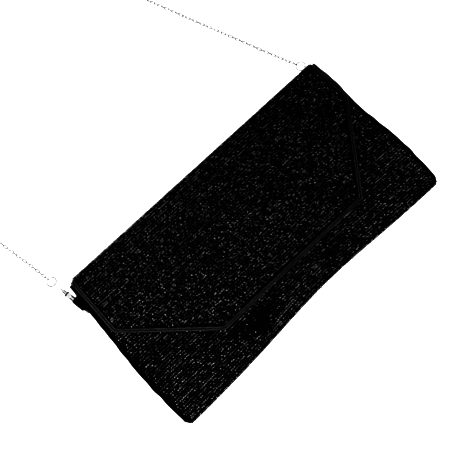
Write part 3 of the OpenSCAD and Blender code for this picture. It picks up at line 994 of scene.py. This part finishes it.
def rounded_edge(distance, z, step, radius=2.5):
    """The flap's free edge at a distance in, with its corners rounded."""
    corner = np.column_stack([edge_in(distance), np.full(len(FLAP_EDGE), z)])
    line = [corner[0]]
    for before, here, after in zip(corner[:-2], corner[1:-1], corner[2:]):
        a = here + unit(before - here) * radius
        b = here + unit(after - here) * radius
        t = np.linspace(0, 1, 6)[:, None]
        line.extend(a * (1 - t) ** 2 + 2 * here * t * (1 - t) + b * t**2)
    line = np.array(line + [corner[-1]])
    return at_lengths(line, np.arange(0, lengths_along(line)[-1], step))


def make_corded_edge():
    parts = []
    top = CORD_HIGH[2] - CORD_R
    for distance, phase in ((0.85, 0.0), (2.45, 1.1)):
        parts += rope(rounded_edge(distance, top, 0.42), phase)
    piece("edge_cords", join(parts), "flap", CORD, "cord_piping")
    band = np.array([(-1.45, 0.1), (-1.5, 1.5), (-1.2, 2.1), (0, 2.25), (1.2, 2.1), (1.5, 1.5), (1.45, 0.1),
                     (0.9, -0.1), (0, -0.15), (-0.9, -0.1)])
    line = rounded_edge(1.65, BAND_Z, 1.6)
    piece("edge_band", sweep(line, band), "flap", SATIN, "cord_piping", ["flap_piping"])


make_corded_edge()

# ---------------- gussets and mouth

GUSSET_T = 0.45


def gusset_bulge(y, left):
    bulge = side_bulge(y, left) * (0.55 + 0.45 * ease((y - y.min()) / 4.0))
    return bulge + 0.20 * np.sin(y / 4.3 + 1) * np.sin(y / 9.1) + 0.10 * np.sin(y / 1.9)


def make_gusset(left):
    """Satin that folds out between the panels: two soft lobes with a crease between them."""
    sign = -1 if left else 1
    y = np.linspace(BOTTOM + drawn_in(sign * PANEL_HALF) + 1.0, 62.0, 150)
    bulge = gusset_bulge(y, left)[:, None]
    a = np.linspace(0, 1, 25)[None]
    pinched = ease(side_spread(y, left) / 1.5)[:, None]
    high, low = 12.75 - 1.5 * pinched, 6.5 + 1.6 * pinched
    crease = np.exp(-((a - 0.60) / 0.07) ** 2)
    out = bulge * (np.sin(math.pi * a) ** 0.62 - 0.26 * crease) - 1.6 * (1 - np.sin(math.pi * a) ** 0.4)
    pleat = 0.10 * np.sin(y[:, None] / 2.7 + 3 * a) * np.sin(math.pi * a)
    z = high + (low - high) * a + 0.25 * np.sin(2 * math.pi * a) + 0 * y[:, None]
    inward = np.maximum(out + pleat - GUSSET_T, -2.2)
    outer = xyz(sign * (PANEL_HALF + out + pleat), y[:, None], z)
    inner = xyz(sign * (PANEL_HALF + inward), y[:, None], z)
    faces = slab(outer, inner) if not left else slab(inner, outer)
    name = "left_gusset" if left else "right_gusset"
    obj = piece(f"{name}_cloth", faces, "pouch", SATIN, "satin", [name])


def make_side_seams():
    """A narrow rolled edge where each panel's beads stop at the sides."""
    parts = []
    for sign in (-1, 1):
        for skin, top, lift, radius in (
                (front_skin, FRONT_HIGH[1] - 1, -0.95, 0.62), (back_skin, BACK_HIGH[1] - 2.5, 0.85, 0.6)):
            y = np.linspace(BOTTOM + 2.0, top, 110)
            x = spread_out(sign * (PANEL_HALF - 0.35) + 0 * y, y)
            parts.append(sweep(skin(x, y) + [0, 0, lift], ring_section(radius, 10)))
    piece("side_seams", join(parts), "pouch", SATIN, "satin")


def make_mouth_binding():
    """Folded satin over the front panel's free edge, a little puckered."""
    low, high = corners("mouth_binding")
    x = np.linspace(low[0] + 0.3, high[0] - 0.3, 260)
    drop = slope(PANEL_HALF - np.abs(x), FRONT_RIM, FRONT_DROP)
    middle = np.stack([x, np.full(len(x), (low[1] + high[1]) / 2), (low[2] + high[2]) / 2 + 0.6 - drop], 1)
    a = np.arange(16) * 2 * math.pi / 16
    wide = (high[1] - low[1]) / 2 * (1 + 0.05 * np.sin(x / 1.7))[:, None]
    tall = (high[2] - low[2]) / 2 * 0.97
    square = 0.55
    section = np.stack([
        wide * np.sign(np.cos(a)) * np.abs(np.cos(a)) ** square + 0 * x[:, None],
        tall * np.sign(np.sin(a)) * np.abs(np.sin(a)) ** square + 0 * x[:, None]], -1)
    piece("mouth_edge", sweep(middle, section), "pouch", SATIN, "satin", ["mouth_binding"])
    seam = middle[6:-6] + [0, 0, tall - 0.05]
    piece("mouth_stitching", stitches(seam, (0, 0, 1)), "pouch", THREAD, "satin")


def make_pocket():
    low, high = corners("slip_pocket")
    x, y = np.meshgrid(np.linspace(low[0], high[0], 60), np.linspace(low[1], high[1], 36), indexing="ij")
    edge = np.minimum(np.minimum(x - low[0], high[0] - x), y - low[1])
    z = low[2] + 0.25 + (high[2] - low[2] - 0.3) * ease(edge / 5) + 0.06 * swell(x, y, 9, 1.0)
    top = xyz(x, y, z)
    cloth = piece("slip_pocket_cloth", slab(top, top - [0, 0, 0.3]), "pouch", LINING, "lining", ["slip_pocket"])
    left, right, bottom, top, z = low[0] + 1, high[0] - 1, low[1] + 1, high[1] - 0.6, low[2] + 0.3
    line = np.array([(left, top, z), (left, bottom, z), (right, bottom, z), (right, top, z)])
    line = at_lengths(line, np.arange(0, lengths_along(line)[-1], 1.0))
    piece("pocket_stitching", stitches(line, (0, 0, 1)), "pouch", THREAD, "lining")


make_gusset(True)
make_gusset(False)
make_side_seams()
make_mouth_binding()
make_pocket()

# ---------------- snap

STUD_BASE_Z = 14.02


def snap_piece(name, profile, centre, body, node):
    points, faces = lathe(profile)
    piece(name, (points + [centre[0], centre[1], 0], faces), body, NICKEL, "snap_metal", [node])


def make_snap():
    low, high = corners("snap_socket")
    centre = (low + high) / 2
    r = (high[0] - low[0]) / 2
    cup = [(2.35, low[2]), (2.35, high[2] - 0.35), (2.6, high[2] - 0.05), (3.0, high[2]), (3.5, high[2] - 0.25),
           (r - 1.6, high[2] - 0.3), (r - 0.9, high[2] - 0.02), (r - 0.4, high[2]), (r - 0.05, high[2] - 0.3),
           (r, low[2] + 0.2), (r - 0.1, low[2])]
    snap_piece("snap_socket_cup", cup, centre, "pouch", "snap_socket")
    low, high = corners("snap_stud")
    r = (high[0] - low[0]) / 2
    base = STUD_BASE_Z
    stud = [(0.05, low[2]), (1.5, low[2]), (1.95, low[2] + 0.3), (1.75, low[2] + 0.75), (1.7, base - 0.1),
            (2.1, base), (r - 1.6, base + 0.12), (r - 1.0, base), (r - 0.35, base + 0.03), (r, base + 0.3),
            (r, high[2]), (0.05, high[2])]
    snap_piece("snap_stud_post", stud[::-1], centre, "flap", "snap_stud")


make_snap()

# ---------------- clasps and rings

# Each clasp in its own frame: its leg in the tab lies along Y through the origin
LEFT_LEG, LEFT_TURN = (-125.8, 48.0, 10.4), (-10.5, 0.0, 8.5)
RIGHT_LEG = (121.0, 42.0, 2.3)
RIVET_AT, SPRING_AT = (-5.6, 8.2), (-3.1, 8.2)
SPRING_TURNS, SPRING_R, SPRING_WIRE_R = 4.5, 0.78, 0.13
FACES_KEPT = 0.45
# An end ring's radius to its wire's middle, the wire's own, and the angle of its split in radians
RING_R, RING_WIRE_R, SPLIT = 3.5, 0.55, 0.06


def turned(x=0.0, y=0.0, z=0.0):
    """A rotation by degrees about X, then Y, then Z."""
    turn = Matrix.Rotation(math.radians(z), 3, "Z") @ Matrix.Rotation(math.radians(y), 3, "Y")
    return np.array(turn @ Matrix.Rotation(math.radians(x), 3, "X"))


CLASP_TURN = {"left": turned(*LEFT_TURN) @ turned(y=-90), "right": np.eye(3)}
CLASP_AT = {"left": np.array(LEFT_LEG), "right": np.array(RIGHT_LEG)}


def on_clasp(side, points):
    return points @ CLASP_TURN[side].T + CLASP_AT[side]


def cast(node, name, body, finish, slot, voxel=0.14, rounding=6):
    """A CAD piece of hardware with its corners rounded, as cast and tumbled metal has."""
    source = frame["nodes"][node]
    obj = bpy.data.objects.new(name, source.data.copy())
    obj.data.materials.clear()
    bpy.context.scene.collection.objects.link(obj)
    remesh = obj.modifiers.new("remesh", "REMESH")
    remesh.mode = "VOXEL"
    remesh.voxel_size = voxel * MM
    smooth = obj.modifiers.new("smooth", "SMOOTH")
    smooth.factor, smooth.iterations = 0.5, rounding
    thin = obj.modifiers.new("thin", "DECIMATE")
    thin.ratio = FACES_KEPT
    bake_modifiers(obj)
    obj.data.polygons.foreach_set("use_smooth", np.ones(len(obj.data.polygons), bool))
    return finish_piece(obj, body, finish, slot, [node])


def paint_clasp_shade(side, obj, near, far, foot):
    """Paints shade on a clasp: the gap at a barrel's end, and the foot below the tab, take a dark metal that
    stands in for shadow, though the clasp is silver there. Their places are along the clasp.
    """
    obj.data.materials.append(SHADE_PAINT_METAL)
    co = np.zeros(len(obj.data.polygons) * 3)
    obj.data.polygons.foreach_get("center", co)
    along = (co.reshape(-1, 3) / MM - CLASP_AT[side]) @ CLASP_TURN[side][:, 1]
    # The faces that take the painted shade
    dark = ((along > near) & (along < far)) | (along < foot)
    obj.data.polygons.foreach_set("material_index", dark.astype(np.int32))


def make_clasp(side):
    hook = cast(f"{side}_clasp_body", f"{side}_clasp_hook", f"{side}_clasp", SILVER, "silver")
    # Painted shade on the hook: a dark band at the barrel's end and a dark foot below the tab
    paint_clasp_shade(side, hook, 12.1, 13.7, -4.9)
    cast(f"{side}_clasp_trigger", f"{side}_clasp_lever", f"{side}_trigger", SILVER, "silver", 0.12, 4)
    cast(f"{side}_swivel_eye", f"{side}_swivel_loop", "pouch", SILVER, "silver", 0.1, 4)
    rivet = [(0.02, -2.12), (0.35, -2.14), (0.56, -2.05), (0.58, -1.9), (0.58, 1.9), (0.56, 2.05), (0.35, 2.14),
             (0.02, 2.12)]
    points, faces = lathe(rivet, 24)
    piece(f"{side}_rivet_pin", (on_clasp(side, points + [*RIVET_AT, 0]), faces), f"{side}_clasp", NICKEL,
          "silver", [f"{side}_clasp_rivet"])
    a = np.arange(0, SPRING_TURNS * 2 * math.pi, math.pi / 8)
    coil = xyz(SPRING_AT[0] + SPRING_R * np.cos(a), SPRING_AT[1] + SPRING_R * np.sin(a), -0.55 + 1.1 * a / a[-1])
    points, faces = sweep(coil, ring_section(SPRING_WIRE_R, 6))
    piece(f"{side}_trigger_spring", (on_clasp(side, points), faces), f"{side}_clasp", STEEL, "spring_steel",
          [f"{side}_clasp_spring"])


def make_ring(side):
    """A split ring: its two ends meet, with a hair's gap between them."""
    low, high = corners(f"{side}_ring")
    vertices = frame["nodes"][f"{side}_ring"].data.vertices
    co = np.zeros(len(vertices) * 3)
    vertices.foreach_get("co", co)
    points = co.reshape(-1, 3) / MM
    centre = (low + high) / 2
    _, _, axes = np.linalg.svd(points - points.mean(0), full_matrices=False)
    a = math.radians(150) + np.linspace(SPLIT / 2, 2 * math.pi - SPLIT / 2, 72)
    line = centre + RING_R * (np.outer(np.cos(a), axes[0]) + np.outer(np.sin(a), axes[1]))
    mesh = sweep(line, ring_section(RING_WIRE_R, 14), up=axes[2])
    piece(f"{side}_end_ring", mesh, "pouch", SILVER, "silver", [f"{side}_ring"])


for side in ("left", "right"):
    make_clasp(side)
    make_ring(side)

# ---------------- ribbon tabs

TAB_W, TAB_T, TAB_HOLE = 10.0, 0.8, 1.5
RIB_PITCH, RIB_DEPTH = 0.8, 0.07


def make_tab(side, fold, reach):
    """A grosgrain loop round the clasp's leg: ribs across it, and a stitched edge down each side."""
    mid_r = TAB_HOLE + TAB_T / 2
    leg = np.linspace(-reach, 0, 24)[:-1] if fold > 0 else np.linspace(reach, 0, 24)[:-1]
    a = np.linspace(math.pi, 0, 26) * (1 if fold > 0 else -1)
    near = np.stack([np.full(len(leg), -mid_r), leg], 1)
    far = np.stack([np.full(len(leg), mid_r), leg[::-1]], 1)
    bend = np.stack([mid_r * np.cos(a), mid_r * np.sin(a)], 1)
    path = np.concatenate([near, bend, far])
    line = np.column_stack([path[:, 0], np.zeros(len(path)), path[:, 1]])
    line = at_lengths(line, np.arange(0, lengths_along(line)[-1], RIB_PITCH / 4))
    s = lengths_along(line)
    rib = RIB_DEPTH * np.cos(2 * math.pi * s / RIB_PITCH)
    half, thick = TAB_W / 2, TAB_T / 2
    across = half * np.array([-1, -0.985, -0.9, -0.86, 0, 0.86, 0.9, 0.985, 1])
    relief = np.array([0.35, 0.75, 0.95, 0.8, 1, 0.8, 0.95, 0.75, 0.35])
    outline = np.concatenate([across, across[::-1]])
    height = np.concatenate([relief, -relief[::-1]])
    section = np.stack([
        np.broadcast_to(outline, (len(line), len(outline))),
        (thick - 0.06 + rib[:, None]) * height], -1)
    along = headings(line)
    above = np.cross(along, np.broadcast_to([0.0, 1, 0], along.shape))
    points = line[:, None] + section[..., :1] * np.array([0.0, 1, 0]) + section[..., 1:] * above[:, None]
    mesh = on_clasp(side, points.reshape(-1, 3)), tube_faces(*points.shape[:2])
    tab = piece(f"{side}_tab_ribbon", mesh, "pouch", GROSGRAIN, "ribbon", [f"{side}_tab"])


make_tab("left", 1, 5.5)
make_tab("right", -1, 6.0)

# ---------------- CAD pieces that stay

for node, material in (("back_board", BOARD), ("flap_board", BOARD), ("snap_magnet", MAGNET),
                       ("socket_washer", STEEL), ("stud_washer", STEEL)):
    kept = frame["nodes"][node]
    kept.data.materials.clear()
    kept.data.materials.append(material)

# ---------------- floor and light

FLOOR_SIZE, FLOOR_Z = 6000.0, -0.2


def plain_floor():
    look = Look("floor", (0.5, 0.5, 0.5), 0.9, Emission_Strength=1.0)
    look.shader.inputs["Emission Color"].default_value = (1, 1, 1, 1)
    look.rough(look.noise(40.0), 0.85, 0.95)
    return look.material


def make_floor():
    half, z = FLOOR_SIZE / 2, FLOOR_Z
    points = np.array([(-half, -half, z), (half, -half, z), (half, half, z), (-half, half, z)])
    floor = blank("floor", points, [np.array([[0, 1, 2, 3]])])
    floor.data.materials.append(plain_floor())


def make_light(name, at, aim, size, power, falls_on, spread=180):
    """A soft box that falls on the pieces whose finish is one of falls_on, and that no view shows."""
    data = bpy.data.lights.new(name, "AREA")
    data.shape = "RECTANGLE"
    data.size, data.size_y = size[0] * MM, size[1] * MM
    data.energy = power
    data.spread = math.radians(spread)
    light = bpy.data.objects.new(name, data)
    bpy.context.scene.collection.objects.link(light)
    turn = (Vector(aim) - Vector(at)).normalized().to_track_quat("-Z", "Y").to_matrix().to_4x4()
    light.matrix_world = Matrix.Translation(Vector(at) * MM) @ turn
    light.visible_camera = False
    lit = bpy.data.collections.new(f"{name}_falls_on")
    for obj in bpy.context.scene.objects:
        if obj.type == "MESH" and obj.data.materials and obj.data.materials[0] in falls_on:
            lit.objects.link(obj)
    light.light_linking.receiver_collection = lit


def make_sky():
    """A studio that is white at eye level and dark overhead."""
    world = bpy.data.worlds.new("studio")
    bpy.context.scene.world = world
    world.use_nodes = True
    tree = world.node_tree
    where = tree.nodes.new("ShaderNodeTexCoord")
    split = tree.nodes.new("ShaderNodeSeparateXYZ")
    ramp = tree.nodes.new("ShaderNodeValToRGB")
    ramp.color_ramp.elements[0].position = 0.03
    ramp.color_ramp.elements[0].color = (1, 1, 1, 1)
    ramp.color_ramp.elements[1].position = 0.12
    ramp.color_ramp.elements[1].color = (0.08, 0.08, 0.085, 1)
    tree.links.new(where.outputs["Generated"], split.inputs[0])
    tree.links.new(split.outputs["Z"], ramp.inputs["Fac"])
    tree.links.new(ramp.outputs["Color"], tree.nodes["Background"].inputs["Color"])


make_floor()
make_light("key", (-420, -150, 450), (-130, -40, 0), (260, 260), 2.3, JET + [CORD], 55)
make_light("low", (175, -195, 85), (60, -50, 10), (150, 90), 0.75, JET + [CORD])
make_light("overhead", (0, 60, 900), (0, 60, 0), (1500, 1500), 5.0, METALS + FABRICS)
make_light("behind", (-150, 900, 260), (-120, 60, 10), (1400, 500), 1.5, METALS)
make_sky()
bpy.context.scene.view_settings.view_transform = "Standard"
bpy.context.scene.view_settings.look = "Very High Contrast"
bpy.context.scene.view_settings.gamma = 0.8
